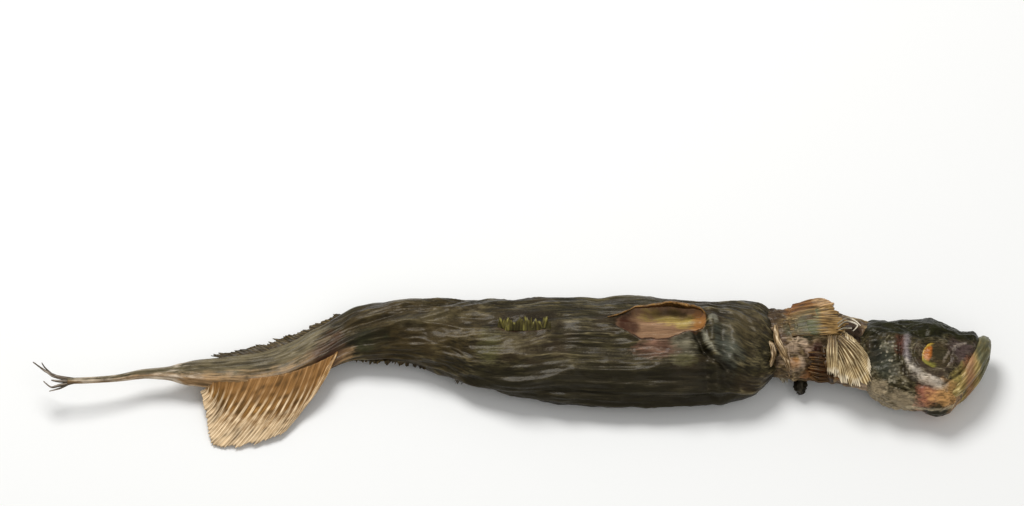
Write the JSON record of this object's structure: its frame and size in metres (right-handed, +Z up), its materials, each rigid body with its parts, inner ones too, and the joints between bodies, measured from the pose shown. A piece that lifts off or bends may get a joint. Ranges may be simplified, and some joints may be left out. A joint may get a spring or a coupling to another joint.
{
  "type": "dried stockfish",
  "caption": "Whole gutted and air-dried fish lying on one side, with head, torn gills, open belly slit, spread anal fin and thin frayed tail.",
  "frame": {"origin": "middle of the fish's bounding box, on the surface it lies on", "axes": "+X along the fish towards its head, +Y towards its back at the head, +Z up"},
  "size_m": [0.5012, 0.0878, 0.0311],
  "materials": {
    "dried_skin": "dark olive dried skin with a dull oily gloss"
  },
  "bodies": {
    "root": {"stockfish": "dried_skin"}
  },
  "joints": []
}
